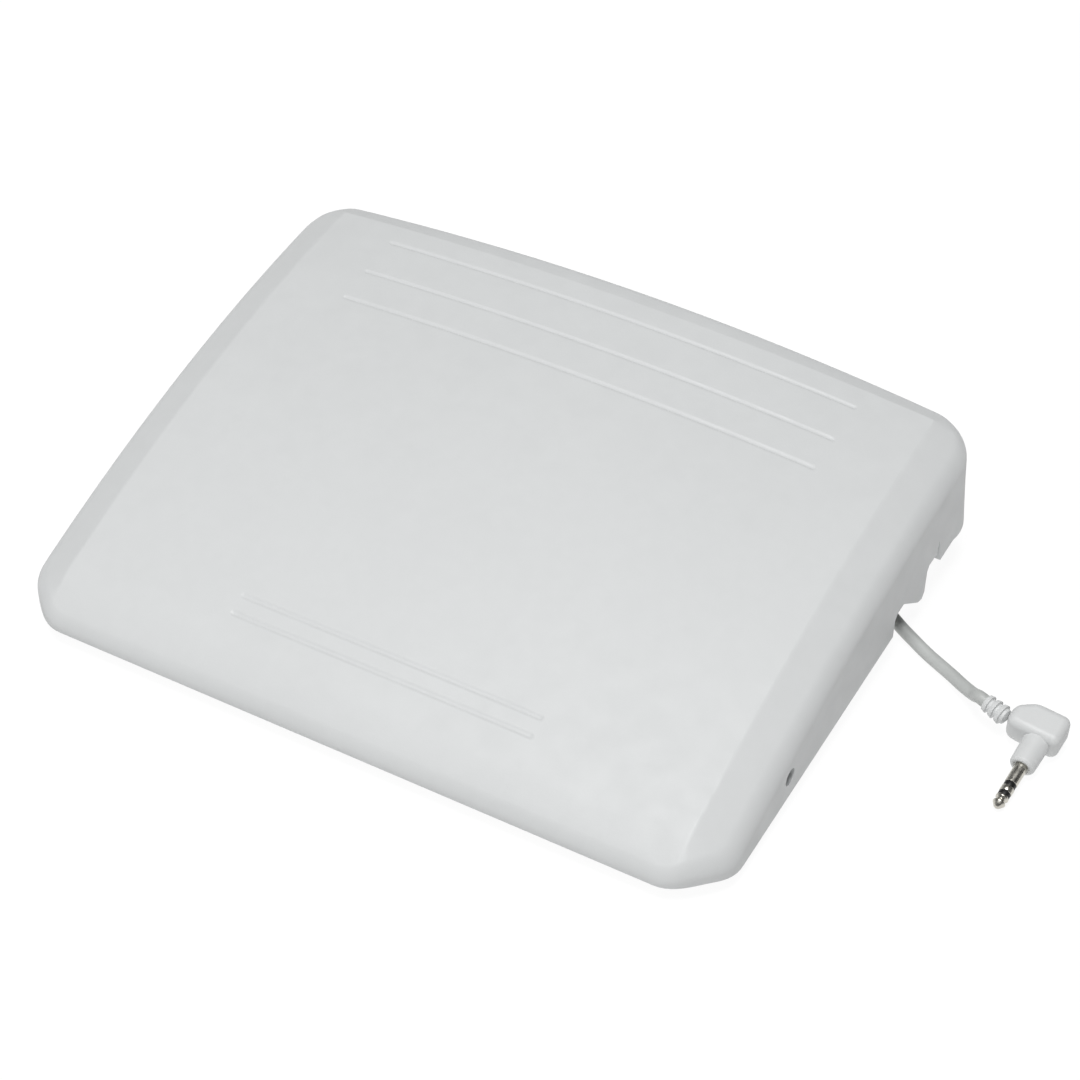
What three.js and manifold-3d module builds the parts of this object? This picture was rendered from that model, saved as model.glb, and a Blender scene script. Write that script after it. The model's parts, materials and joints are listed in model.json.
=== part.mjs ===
import * as THREE from 'three';
import { mergeVertices } from 'three/addons/utils/BufferGeometryUtils.js';
import Module from 'manifold-3d';

// Foot control pedal for a sewing machine, with its lead and plug.
// Millimetres. +X is the user's right, +Y points to the raised toe end, +Z is up.
// The origin is on the floor, under the middle of the pedal, which is at rest with its toe end up.

const wasm = await Module();
wasm.setup();

// --- Driving dimensions ---

const GAP = 0.3; // between pieces that meet
const COVER_WIDTH = 208;
const COVER_DEPTH = 161;
const COVER_WALL = 2.4;
const BAND_WIDTH = 12.5; // sloping band along each side of the top
const BAND_RISE = 2.3; // how far the band climbs from the side to its crease
const CROWN = 6.2; // how far the middle of the toe end stands above the creases
const SIDE_FRONT_Z = 3; // top of the side wall at the heel, above the skirt's lower edge
const SIDE_REAR_Z = 30.7; // the same at the toe
const SIDE_BULGE = 7.1; // how far the side's top line bows above a straight line
const HEEL_CORNER = 16; // corner radii in plan
const HEEL_CORNER_FLAT = 1.5; // how far the heel's corners are flattened inside that radius
const TOE_CORNER = 14;
const TOE_DRAFT = 0.13; // how far the toe's wall leans out for each millimetre down
const HEEL_ROUND = 2.5; // edge radii between the top and the walls
const SIDE_ROUND = 4;
const TOE_ROUND = 4;
const HEEL_LIP_Z = 1.8; // lower edge of the skirt across the heel
const TOE_SKIRT_Z = 2.6; // lower edge of the skirt across the toe

const PIVOT_IN_COVER = { y: 43.3, z: 7.5 }; // hinge axis, in the cover's own frame
const PIVOT = { y: -37.4, z: 13 }; // hinge axis, in the part's frame
const REST_TILT = 2.8; // degrees that the skirt's lower edge slopes up to the toe at rest
const PRESS_ANGLE = 3.8; // degrees of pedal travel

const FLOOR_PLATE_Z = 2; // underside of the base, above the floor
const PLATE = 2.2; // thickness of the base's floor
const DECK_Z = FLOOR_PLATE_Z + PLATE;
const BASE_X = 98.3; // half the base's width
const BASE_FRONT = -66;
const BASE_REAR = 74;
const BASE_CORNER = 12;
const BASE_WALL = 2.2;
const BASE_RIM_FRONT = 6.5; // height of the base's wall at the heel
const BASE_RIM_REAR = 16; // and at the toe

const PIN_RADIUS = 1.5;
const PIN_HEAD_RADIUS = 2.2;
const PIN_HEAD = 0.8; // thickness
const PIN_LENGTH = 11.5;
const PIN_RECESS = 1.7; // how far the heads sit below the cover's sides
const EAR_RADIUS = 4.6;

const LEAD_RADIUS = 1.8;
const LEAD = 2 * LEAD_RADIUS;
const COIL = { x: 56, y: 27 }; // middle of the cord store
const COIL_MEAN_RADIUS = 6 * LEAD; // turns are 12 diameters across at their middle
const COIL_COLUMNS = 5; // turns side by side
const COIL_LAYERS = 2;
const COIL_BOTTOM = 3.3;
const COIL_OUTER_TURN = COIL_MEAN_RADIUS + ((COIL_COLUMNS - 1) / 2) * LEAD;
const LOWER_LAYER_Z = COIL_BOTTOM + LEAD_RADIUS;
const UPPER_LAYER_Z = LOWER_LAYER_Z + LEAD;
const LEAD_HEADING = THREE.MathUtils.degToRad(-25); // direction in which the lead leaves the store
const WELL_RADIUS = 33;
const WELL_CEILING = 13;
const HUB_RADIUS = 11.6;
const TAB_THICKNESS = 1;

const GLAND = { x: COIL.x - COIL_OUTER_TURN, y: -11, z: UPPER_LAYER_Z }; // outer face of its wall

const SPRING = { x: 14, y: 38, bottom: 8.3, top: 25.9, radius: 5.4, wire: 1.2, turns: 7 };
const SEAT_RADIUS = 7.5;
const STUD_RADIUS = 4.2;

const BUMPER = { x: 80, y: 64, radius: 5, bottom: 8.3, height: 5 };
const HOOK = { x: 45, width: 10, back: 69.5, thickness: 2.4, bottom: 9.7, top: 12.7, reach: 2.2 };
const CATCH = { width: 14, front: 70.3, bottom: 13, top: 15.6 };

const BOARD = { x: -52.8, thickness: 1.6, y0: 23, y1: 54, z0: 8.6, z1: 33.5 };
const CONTROL = { depth: 7.5, y: 38, width: 14, z0: 13, z1: 33, slotWidth: 4, slotHeight: 13 };
const SLIDER = { z: 27, thickness: 2, width: 3, reach: 8 };
const FORK = { thickness: 4.5, width: 10, bottom: 20, boss: 9 };
const BRACKET = 1.5;
const SCREW = { shank: 1.2, head: 2.4, headHeight: 1.7 };

const FOOT = { x: 84, yFront: -54, yRear: 62, radius: 6, recess: 1 };

const PLUG = { x: 151.2, y: 14.9, z: 6.8 }; // where the plug's two axes cross
const PLUG_HEADING = THREE.MathUtils.degToRad(-2.5);
const PLUG_NOSE_DOWN = THREE.MathUtils.degToRad(4);
const PLUG_TIP_DOWN = THREE.MathUtils.degToRad(11); // the contacts lean down until the tip touches
const PLUG_BODY = { back: -9.5, front: 5.7, near: 3.4, far: 6.2, halfHeight: 4.4, neck: 2.9 };
const PLUG_BOOT = { length: 6.6, wide: 2.7, narrow: 2.3 };
const BOOT_BEND = THREE.MathUtils.degToRad(-14); // the lead pulls the boot round
const PLUG_COLLAR = { start: 2.6, end: 11.8, radius: 3.6 };
const JACK_RADIUS = 1.75;

// --- Solids: three.js geometry in, three.js geometry out, joined and cut by manifold-3d ---

function solid(geometry) {
  const bare = geometry.index ? geometry.toNonIndexed() : geometry.clone();
  for (const name of Object.keys(bare.attributes)) {
    if (name !== 'position') bare.deleteAttribute(name);
  }
  const merged = mergeVertices(bare, 1e-4);
  const triVerts = [];
  for (let i = 0; i < merged.index.count; i += 3) {
    const [a, b, c] = [0, 1, 2].map((k) => merged.index.getX(i + k));
    if (a !== b && b !== c && c !== a) triVerts.push(a, b, c);
  }
  return new wasm.Manifold(new wasm.Mesh({
    numProp: 3,
    vertProperties: merged.attributes.position.array,
    triVerts: new Uint32Array(triVerts),
  }));
}

function geometryOf(shape) {
  const mesh = shape.getMesh();
  const geometry = new THREE.BufferGeometry();
  geometry.setAttribute('position', new THREE.BufferAttribute(mesh.vertProperties, 3));
  geometry.setIndex(new THREE.BufferAttribute(mesh.triVerts, 1));
  const faceted = geometry.toNonIndexed();
  faceted.computeVertexNormals();
  return faceted;
}

const join = (shapes) => shapes.reduce((sum, shape) => sum.add(shape));
const cut = (shape, tools) => tools.reduce((rest, tool) => rest.subtract(tool), shape);

function block(x0, x1, y0, y1, z0, z1) {
  const geometry = new THREE.BoxGeometry(x1 - x0, y1 - y0, z1 - z0);
  return geometry.translate((x0 + x1) / 2, (y0 + y1) / 2, (z0 + z1) / 2);
}

function post(x, y, radius, z0, z1, sides = 20) {
  const geometry = new THREE.CylinderGeometry(radius, radius, z1 - z0, sides);
  return geometry.rotateX(Math.PI / 2).translate(x, y, (z0 + z1) / 2);
}

// A bar lying along X, from x0 to x1.
function crossBar(x0, x1, y, z, radius, sides = 24) {
  const geometry = new THREE.CylinderGeometry(radius, radius, Math.abs(x1 - x0), sides);
  return geometry.rotateZ(Math.PI / 2).translate((x0 + x1) / 2, y, z);
}

function roundedRectangle(halfWidth, front, rear, radius) {
  const shape = new THREE.Shape();
  shape.absarc(halfWidth - radius, front + radius, radius, -Math.PI / 2, 0);
  shape.absarc(halfWidth - radius, rear - radius, radius, 0, Math.PI / 2);
  shape.absarc(radius - halfWidth, rear - radius, radius, Math.PI / 2, Math.PI);
  shape.absarc(radius - halfWidth, front + radius, radius, Math.PI, 1.5 * Math.PI);
  return shape;
}

function slab(shape, z0, z1) {
  const geometry = new THREE.ExtrudeGeometry(shape, {
    depth: z1 - z0, bevelEnabled: false, curveSegments: 4,
  });
  return geometry.translate(0, 0, z0);
}

// A profile of [y, z] points, extruded across from x0 to x1.
function sideProfile(points, x0, x1) {
  const shape = new THREE.Shape(points.map(([y, z]) => new THREE.Vector2(y, z)));
  const geometry = new THREE.ExtrudeGeometry(shape, { depth: x1 - x0, bevelEnabled: false });
  const swap = new THREE.Matrix4().set(0, 0, 1, x0, 1, 0, 0, 0, 0, 1, 0, 0, 0, 0, 0, 1);
  return geometry.applyMatrix4(swap);
}

function turned(profile, sides) {
  return new THREE.LatheGeometry(profile.map(([r, h]) => new THREE.Vector2(r, h)), sides);
}

// A round cord or wire along a curve.
function tube(curve, radius, steps, sides = 8) {
  const section = new THREE.Shape();
  section.absarc(0, 0, radius, 0, 2 * Math.PI);
  return new THREE.ExtrudeGeometry(section, {
    steps, extrudePath: curve, bevelEnabled: false, curveSegments: sides / 2,
  });
}

const smoothCurve = (points) => new THREE.CatmullRomCurve3(
  points.map(([x, y, z]) => new THREE.Vector3(x, y, z)), false, 'centripetal');

// --- The cover's form ---

const HALF_WIDTH = COVER_WIDTH / 2;
const CREASE_X = HALF_WIDTH - BAND_WIDTH;

// Height of the top surface, in the cover's own frame: y runs from 0 at the heel to COVER_DEPTH.
function topHeight(x, y) {
  const along = y / COVER_DEPTH;
  const side = SIDE_FRONT_Z + (SIDE_REAR_Z - SIDE_FRONT_Z) * along
    + 4 * SIDE_BULGE * along * (1 - along);
  const across = Math.min(Math.abs(x), CREASE_X) / CREASE_X;
  const crown = CROWN * Math.sin((Math.PI / 2) * THREE.MathUtils.clamp(along, 0, 1));
  const band = Math.max(0, Math.abs(x) - CREASE_X) / BAND_WIDTH;
  return side + crown * (1 - across * across) + BAND_RISE * (1 - band);
}

const ACROSS = 14; // grid of the top, and steps round each corner and over each edge
const ALONG = 12;
const CORNER_STEPS = 6;
const EDGE_STEPS = 3;

// The outline in plan, anticlockwise from the heel's left: point, outward normal, grid corner, radius.
function coverOutline(inset) {
  const halfWidth = HALF_WIDTH - inset;
  const front = inset;
  const rear = COVER_DEPTH - inset;
  const heel = HEEL_CORNER - inset;
  const toe = TOE_CORNER - inset;
  const gridX = CREASE_X - inset;
  const gridFront = front + HEEL_CORNER;
  const gridRear = rear - HEEL_CORNER;
  const stations = [];
  const run = (count, from, to, gridFrom, gridTo, normal, round) => {
    for (let i = 0; i < count; i++) {
      const t = i / count;
      stations.push({
        x: THREE.MathUtils.lerp(from[0], to[0], t),
        y: THREE.MathUtils.lerp(from[1], to[1], t),
        gridX: THREE.MathUtils.lerp(gridFrom[0], gridTo[0], t),
        gridY: THREE.MathUtils.lerp(gridFrom[1], gridTo[1], t),
        normal,
        round,
      });
    }
  };
  const corner = (cx, cy, radius, start, grid, roundFrom, roundTo, flat = 0) => {
    for (let i = 0; i < CORNER_STEPS; i++) {
      const t = i / CORNER_STEPS;
      const angle = start + (t * Math.PI) / 2;
      const normal = [Math.cos(angle), Math.sin(angle)];
      const reach = radius - flat * Math.sin(Math.PI * t) ** 2;
      stations.push({
        x: cx + reach * normal[0],
        y: cy + reach * normal[1],
        gridX: grid[0],
        gridY: grid[1],
        normal,
        round: THREE.MathUtils.lerp(roundFrom, roundTo, t),
      });
    }
  };
  const grid = [[-gridX, gridFront], [gridX, gridFront], [gridX, gridRear], [-gridX, gridRear]];
  run(ACROSS, [heel - halfWidth, front], [halfWidth - heel, front], grid[0], grid[1], [0, -1], HEEL_ROUND);
  corner(halfWidth - heel, front + heel, heel, -Math.PI / 2, grid[1], HEEL_ROUND, SIDE_ROUND,
    HEEL_CORNER_FLAT);
  run(ALONG, [halfWidth, front + heel], [halfWidth, rear - toe], grid[1], grid[2], [1, 0], SIDE_ROUND);
  corner(halfWidth - toe, rear - toe, toe, 0, grid[2], SIDE_ROUND, TOE_ROUND);
  run(ACROSS, [halfWidth - toe, rear], [toe - halfWidth, rear], grid[2], grid[3], [0, 1], TOE_ROUND);
  corner(toe - halfWidth, rear - toe, toe, Math.PI / 2, grid[3], TOE_ROUND, SIDE_ROUND);
  run(ALONG, [-halfWidth, rear - toe], [-halfWidth, front + heel], grid[3], grid[0], [-1, 0], SIDE_ROUND);
  corner(heel - halfWidth, front + heel, heel, Math.PI, grid[0], SIDE_ROUND, HEEL_ROUND,
    HEEL_CORNER_FLAT);
  return stations;
}

// A closed solid under the top surface, its walls inset from the cover's and running down to bottom.
function coverForm(inset, bottom) {
  const stations = coverOutline(inset);
  const flare = (s) => TOE_DRAFT * Math.max(s.normal[1], 0) * (topHeight(s.x, s.y) - bottom);
  const rings = [stations.map((s) => [
    s.x + s.normal[0] * flare(s), s.y + s.normal[1] * flare(s), bottom,
  ])];
  for (let k = 0; k <= EDGE_STEPS; k++) {
    const angle = (k / EDGE_STEPS) * (Math.PI / 2);
    rings.push(stations.map((s) => {
      const round = Math.max(s.round - inset, 0.6);
      const back = round * (1 - Math.cos(angle));
      const x = s.x - s.normal[0] * back;
      const y = s.y - s.normal[1] * back;
      return [x, y, topHeight(x, y) - inset - round * (1 - Math.sin(angle))];
    }));
  }
  rings.push(stations.map((s) => [s.gridX, s.gridY, topHeight(s.gridX, s.gridY) - inset]));
  const triangles = [];
  const quad = (a, b, c, d) => triangles.push(...a, ...b, ...c, ...a, ...c, ...d);
  for (let k = 0; k + 1 < rings.length; k++) {
    rings[k].forEach((point, i) => {
      const next = (i + 1) % stations.length;
      quad(point, rings[k][next], rings[k + 1][next], rings[k + 1][i]);
    });
  }
  const gridX = CREASE_X - inset;
  const gridFront = inset + HEEL_CORNER;
  const gridRear = COVER_DEPTH - inset - HEEL_CORNER;
  const node = (i, j) => {
    const x = THREE.MathUtils.lerp(-gridX, gridX, i / ACROSS);
    const y = THREE.MathUtils.lerp(gridFront, gridRear, j / ALONG);
    return [x, y, topHeight(x, y) - inset];
  };
  for (let i = 0; i < ACROSS; i++) {
    for (let j = 0; j < ALONG; j++) {
      quad(node(i, j), node(i + 1, j), node(i + 1, j + 1), node(i, j + 1));
    }
  }
  const middle = [0, COVER_DEPTH / 2, bottom];
  rings[0].forEach((point, i) => {
    triangles.push(...middle, ...rings[0][(i + 1) % stations.length], ...point);
  });
  const geometry = new THREE.BufferGeometry();
  geometry.setAttribute('position', new THREE.Float32BufferAttribute(triangles, 3));
  return geometry;
}

// From the cover's own frame to the part's frame, with the toe end raised.
const coverToPart = new THREE.Matrix4().makeTranslation(0, PIVOT.y, PIVOT.z)
  .multiply(new THREE.Matrix4().makeRotationX(THREE.MathUtils.degToRad(REST_TILT)))
  .multiply(new THREE.Matrix4().makeTranslation(0, -PIVOT_IN_COVER.y, -PIVOT_IN_COVER.z));

const tilted = (geometry) => geometry.applyMatrix4(coverToPart);

// Lower edge of the skirt, as [y, z] from heel to toe in the cover's frame.
const HEEL_EDGE = [[-6, HEEL_LIP_Z], [7, HEEL_LIP_Z], [12, 0.9], [18, 0]];
const PLAIN_EDGE = [...HEEL_EDGE, [139, 0], [144, TOE_SKIRT_Z - 0.4], [COVER_DEPTH + 6, TOE_SKIRT_Z]];
const NOTCH_Z = 7.4; // top of the two cord notches, with a slanting tongue between them
const NOTCHED_EDGE = [
  ...HEEL_EDGE, [107.5, 0], [107.5, 5.8], [109, NOTCH_Z], [113, NOTCH_Z], [115.2, 5.6],
  [124.2, -1.8], [127, -2.8], [128.6, -1], [128.3, 5.8], [129.6, NOTCH_Z],
  [134.4, NOTCH_Z], [135.6, 11.6], [136.6, 7], [138.2, TOE_SKIRT_Z - 0.4],
  [COVER_DEPTH + 6, TOE_SKIRT_Z],
];

function underEdge(edge, x0, x1) {
  const lowest = -20;
  return tilted(sideProfile([[-6, lowest], [COVER_DEPTH + 6, lowest], ...edge.toReversed()], x0, x1));
}

function springCup(side) {
  const x = side * SPRING.x;
  return [
    solid(post(x, SPRING.y, SEAT_RADIUS, SPRING.top + GAP, 60)),
    solid(post(x, SPRING.y, STUD_RADIUS, SPRING.top - 5, 60)),
  ];
}

function stopPost(side) {
  const clearance = GAP + 0.2;
  const arm = BUMPER.y - PIVOT.y;
  const rest = THREE.MathUtils.degToRad(REST_TILT);
  const pressed = THREE.MathUtils.degToRad(REST_TILT - PRESS_ANGLE);
  const travel = arm * (Math.sin(rest) - Math.sin(pressed));
  const bottom = BUMPER.bottom + BUMPER.height + clearance + travel;
  const x = side * BUMPER.x;
  return [
    solid(block(x - 1, x + 1, BUMPER.y - 5, BUMPER.y + 5, bottom, 60)),
    solid(block(x - 5, x + 5, BUMPER.y - 1, BUMPER.y + 1, bottom, 60)),
  ];
}

function retainingHook(side) {
  const x = side * HOOK.x;
  const [x0, x1] = [x - HOOK.width / 2, x + HOOK.width / 2];
  return [
    solid(block(x0, x1, HOOK.back - HOOK.thickness, HOOK.back, HOOK.bottom, 60)),
    solid(block(x0, x1, HOOK.back - 0.5, HOOK.back + HOOK.reach, HOOK.bottom, HOOK.top)),
  ];
}

const CONTROL_X = BOARD.x + BOARD.thickness + GAP;
// Near face of the fork, whose screw's head passes the control body as the pedal goes down.
const FORK_X = CONTROL_X + CONTROL.depth + SCREW.headHeight + 3 * GAP;

function forkMount() {
  const x0 = FORK_X + FORK.thickness + GAP;
  return solid(block(x0, x0 + 6, CONTROL.y - FORK.boss / 2, CONTROL.y + FORK.boss / 2, 33, 60));
}

const FORK_SCREW = { z: 37, length: 9.5 };

function pivotBore(side) {
  const outer = side * (HALF_WIDTH + 1);
  const counterbore = side * (HALF_WIDTH - PIN_RECESS - PIN_HEAD - GAP);
  return [
    solid(crossBar(side * 80, outer, PIVOT.y, PIVOT.z, PIN_RADIUS + GAP)),
    solid(crossBar(counterbore, outer, PIVOT.y, PIVOT.z, PIN_HEAD_RADIUS + GAP)),
  ];
}

function pedalCover() {
  const bottom = -6;
  const outer = solid(tilted(coverForm(0, bottom)));
  const inner = solid(tilted(coverForm(COVER_WALL, bottom - 4)));
  const hanging = join([...[-1, 1].flatMap((side) => [
    ...springCup(side), ...stopPost(side), ...retainingHook(side),
  ]), forkMount()]);
  const pivotPads = join([-1, 1].map((side) => solid(
    crossBar(side * (BASE_X + 1.2), side * HALF_WIDTH, PIVOT.y, PIVOT.z, PIN_HEAD_RADIUS + 2.2))));
  const skin = cut(outer, [inner]).add(pivotPads.intersect(outer));
  const trimmed = cut(skin, [
    solid(underEdge(PLAIN_EDGE, -HALF_WIDTH - 2, HALF_WIDTH - TOE_CORNER)),
    solid(underEdge(NOTCHED_EDGE, HALF_WIDTH - TOE_CORNER - 0.01, HALF_WIDTH + 2)),
  ]);
  const screwHole = solid(crossBar(FORK_X, FORK_X + FORK_SCREW.length + 1, CONTROL.y, FORK_SCREW.z,
    SCREW.shank + GAP, 12));
  return cut(trimmed.add(hanging.intersect(outer)), [...pivotBore(-1), ...pivotBore(1), screwHole]);
}

// --- The base ---

// A long box lying in plan from one point to another.
function channel(from, to, halfWidth, z0, z1) {
  const length = Math.hypot(to[0] - from[0], to[1] - from[1]);
  const geometry = block(0, length, -halfWidth, halfWidth, z0, z1);
  return geometry.rotateZ(Math.atan2(to[1] - from[1], to[0] - from[0])).translate(from[0], from[1], 0);
}

// Where the outer turn meets the straight run out of the store.
const TANGENT = [
  COIL.x - COIL_OUTER_TURN * Math.sin(LEAD_HEADING),
  COIL.y + COIL_OUTER_TURN * Math.cos(LEAD_HEADING),
];
const alongLead = (distance) => [
  TANGENT[0] + distance * Math.cos(LEAD_HEADING),
  TANGENT[1] + distance * Math.sin(LEAD_HEADING),
];

// The cord store, grown by skin for its walls and cut at its own size for the hollow.
function storeForm(skin, z0, z1) {
  const entry = [[GLAND.x, GLAND.y - skin], [GLAND.x, COIL.y]];
  const exit = [alongLead(-4), alongLead(skin ? 29 : 40)];
  return join([
    solid(post(COIL.x, COIL.y, WELL_RADIUS + skin, z0, z1, 40)),
    solid(channel(...entry, 5.5 + skin, z0, z1)),
    solid(channel(...exit, 4 + skin, z0, z1)),
  ]);
}

function storeTabs() {
  const angles = [-95, -15, 95, 145].map((degrees) => THREE.MathUtils.degToRad(degrees));
  return angles.map((angle) => {
    const tab = block(COIL_OUTER_TURN - 6, WELL_RADIUS + 1, -6, 6, FLOOR_PLATE_Z,
      FLOOR_PLATE_Z + TAB_THICKNESS);
    return solid(tab.rotateZ(angle).translate(COIL.x, COIL.y, 0));
  });
}

function storeHub() {
  return [
    solid(post(COIL.x, COIL.y, HUB_RADIUS, FLOOR_PLATE_Z, WELL_CEILING + 1, 32)),
    solid(post(COIL.x, COIL.y, HUB_RADIUS + 5, FLOOR_PLATE_Z, FLOOR_PLATE_Z + TAB_THICKNESS, 32)),
  ];
}

function screwPost(x, y, top, radius = 3.6) {
  return {
    body: solid(post(x, y, radius, DECK_Z - 1, top, 16)),
    hole: solid(post(x, y, SCREW.shank + GAP, DECK_Z + 0.4, top + 1, 12)),
  };
}

const BRACKET_SCREWS = [30, 46].map((y) => ({ x: BOARD.x - 8.5, y }));
const BRACKET_SEAT = 8;
const CLAMP = { y: -22, spread: 6, seat: UPPER_LAYER_Z + LEAD_RADIUS, thickness: 1.6 };
const CLAMP_SCREWS = [-1, 1].map((side) => ({ x: GLAND.x + side * CLAMP.spread, y: CLAMP.y }));

function baseTray() {
  const wallTop = 18;
  const shell = solid(slab(roundedRectangle(BASE_X, BASE_FRONT, BASE_REAR, BASE_CORNER),
    FLOOR_PLATE_Z, wallTop));
  const hollow = solid(slab(roundedRectangle(BASE_X - BASE_WALL, BASE_FRONT + BASE_WALL,
    BASE_REAR - BASE_WALL, BASE_CORNER - BASE_WALL), DECK_Z, wallTop + 1));
  const overRim = solid(sideProfile([
    [BASE_FRONT - 5, BASE_RIM_FRONT], [BASE_REAR - 12, BASE_RIM_REAR], [BASE_REAR + 5, BASE_RIM_REAR],
    [BASE_REAR + 5, 40], [BASE_FRONT - 5, 40],
  ], -BASE_X - 2, BASE_X + 2));
  return cut(shell, [hollow, overRim]);
}

function pivotEar(side) {
  const inner = side * (BASE_X - 6);
  const outer = side * BASE_X;
  return [
    solid(crossBar(inner, outer, PIVOT.y, PIVOT.z, EAR_RADIUS)),
    solid(block(Math.min(inner, outer), Math.max(inner, outer),
      PIVOT.y - EAR_RADIUS, PIVOT.y + EAR_RADIUS, DECK_Z - 1, PIVOT.z)),
  ];
}

function baseSeats(side) {
  const catchX = side * HOOK.x;
  return [
    solid(post(side * SPRING.x, SPRING.y, SEAT_RADIUS, DECK_Z - 1, SPRING.bottom - GAP)),
    solid(post(side * SPRING.x, SPRING.y, STUD_RADIUS, DECK_Z - 1, SPRING.bottom + 4)),
    solid(post(side * BUMPER.x, BUMPER.y, BUMPER.radius + 1.5, DECK_Z - 1, BUMPER.bottom - GAP + 1)),
    solid(block(catchX - CATCH.width / 2, catchX + CATCH.width / 2,
      CATCH.front, BASE_REAR - 1, CATCH.bottom, CATCH.top)),
  ];
}

// The pressed hooks reach down into the base's floor.
function hookWindow(side) {
  const [x0, x1] = [side * HOOK.x - HOOK.width / 2 - 2, side * HOOK.x + HOOK.width / 2 + 2];
  return solid(block(x0, x1, HOOK.back - HOOK.thickness - 2, BASE_REAR - BASE_WALL - 0.01,
    FLOOR_PLATE_Z - 1, DECK_Z + 1));
}

const feetPlaces = [
  { name: 'foot_heel_left', x: -FOOT.x, y: FOOT.yFront },
  { name: 'foot_heel_right', x: FOOT.x, y: FOOT.yFront },
  { name: 'foot_toe_left', x: -FOOT.x, y: FOOT.yRear },
  { name: 'foot_toe_right', x: FOOT.x, y: FOOT.yRear },
];

function baseHousing() {
  const posts = [
    ...BRACKET_SCREWS.map(({ x, y }) => screwPost(x, y, BRACKET_SEAT)),
    ...CLAMP_SCREWS.map(({ x, y }) => screwPost(x, y, CLAMP.seat, 2.8)),
  ];
  const saddle = solid(block(GLAND.x - 2, GLAND.x + 2, CLAMP.y - 4, CLAMP.y + 4,
    DECK_Z - 1, UPPER_LAYER_Z - LEAD_RADIUS - GAP));
  const body = join([
    baseTray(), storeForm(BASE_WALL, FLOOR_PLATE_Z, WELL_CEILING + PLATE), saddle,
    ...[-1, 1].flatMap((side) => [...pivotEar(side), ...baseSeats(side)]),
    ...posts.map((post) => post.body),
  ]);
  const hollowed = cut(body, [
    storeForm(0, FLOOR_PLATE_Z - 1, WELL_CEILING),
    solid(crossBar(-BASE_X - 1, 1 - BASE_X + 7, PIVOT.y, PIVOT.z, PIN_RADIUS + GAP)),
    solid(crossBar(BASE_X - 8, BASE_X + 1, PIVOT.y, PIVOT.z, PIN_RADIUS + GAP)),
    solid(new THREE.CylinderGeometry(GLAND_NECK + GAP, GLAND_NECK + GAP, 12, 20)
      .translate(GLAND.x, GLAND.y, GLAND.z)),
    ...posts.map((post) => post.hole),
    ...[-1, 1].map((side) => hookWindow(side)),
    ...feetPlaces.map(({ x, y }) => solid(
      post(x, y, FOOT.radius + GAP, FLOOR_PLATE_Z - 1, FLOOR_PLATE_Z + FOOT.recess))),
    ...[-1, 1].map((side) => solid(post(side * BUMPER.x, BUMPER.y, BUMPER.radius + GAP,
      BUMPER.bottom - GAP, BUMPER.bottom + 2))),
  ]);
  return join([hollowed, ...storeTabs(), ...storeHub()]);
}

// --- Small pieces ---

const GLAND_NECK = 3;

// Lathe profiles stand along Y, which is also the gland's own direction.
function cordGland() {
  const bore = LEAD_RADIUS + GAP;
  const flange = GLAND_NECK + 0.8;
  const inside = -BASE_WALL - GAP;
  const profile = [
    [bore, inside - 2], [flange, inside - 2], [flange, inside], [GLAND_NECK, inside],
    [GLAND_NECK, GAP], [flange, GAP], [flange, GAP + 1.6], [bore + 1.1, GAP + 1.8],
    [bore + 0.5, GAP + 15], [bore, GAP + 15], [bore, inside - 2],
  ];
  return turned(profile, 20).translate(GLAND.x, GLAND.y, GLAND.z);
}

function pivotPin(side) {
  const profile = [
    [0, 0], [PIN_HEAD_RADIUS, 0], [PIN_HEAD_RADIUS, PIN_HEAD], [PIN_RADIUS, PIN_HEAD],
    [PIN_RADIUS, PIN_LENGTH - 0.5], [PIN_RADIUS - 0.4, PIN_LENGTH], [0, PIN_LENGTH],
  ];
  const pin = turned(profile, 20).rotateZ((side * Math.PI) / 2);
  return pin.translate(side * (HALF_WIDTH - PIN_RECESS), PIVOT.y, PIVOT.z);
}

class SpringLine extends THREE.Curve {
  getPoint(t, target = new THREE.Vector3()) {
    const angle = t * SPRING.turns * 2 * Math.PI;
    const closed = 1 / SPRING.turns; // first and last turns lie flat
    const rise = THREE.MathUtils.clamp((t - closed) / (1 - 2 * closed), 0, 1);
    const flat = 0.5 * SPRING.wire * Math.min(t / closed, 1);
    const last = 0.5 * SPRING.wire * Math.max((t - 1 + closed) / closed, 0);
    const bottom = SPRING.bottom + SPRING.wire / 2;
    const free = SPRING.top - SPRING.bottom - 2 * SPRING.wire;
    return target.set(SPRING.radius * Math.cos(angle), SPRING.radius * Math.sin(angle),
      bottom + flat + last + rise * free);
  }
}

function returnSpring(side) {
  const coil = tube(new SpringLine(), SPRING.wire / 2, SPRING.turns * 12, 6);
  return coil.translate(side * SPRING.x, SPRING.y, 0);
}

function screw(x, y, underHead, length) {
  const { shank, head, headHeight } = SCREW;
  const profile = [
    [0, -length], [shank, -length], [shank, 0], [head, 0], [head, headHeight * 0.6],
    [head * 0.7, headHeight], [0.9, headHeight], [0.9, headHeight - 0.7], [0, headHeight - 0.7],
  ];
  return turned(profile, 14).rotateX(Math.PI / 2).translate(x, y, underHead);
}

function bumper(side) {
  const { radius, height, bottom } = BUMPER;
  const profile = [[0, 0], [radius, 0], [radius, height - 1], [radius - 1, height], [0, height]];
  return turned(profile, 20).rotateX(Math.PI / 2).translate(side * BUMPER.x, BUMPER.y, bottom);
}

function foot(x, y) {
  const top = FLOOR_PLATE_Z + FOOT.recess - GAP;
  const profile = [
    [0, 0], [FOOT.radius - 0.8, 0], [FOOT.radius, 0.8], [FOOT.radius, top], [0, top],
  ];
  return turned(profile, 24).rotateX(Math.PI / 2).translate(x, y, 0);
}

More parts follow.
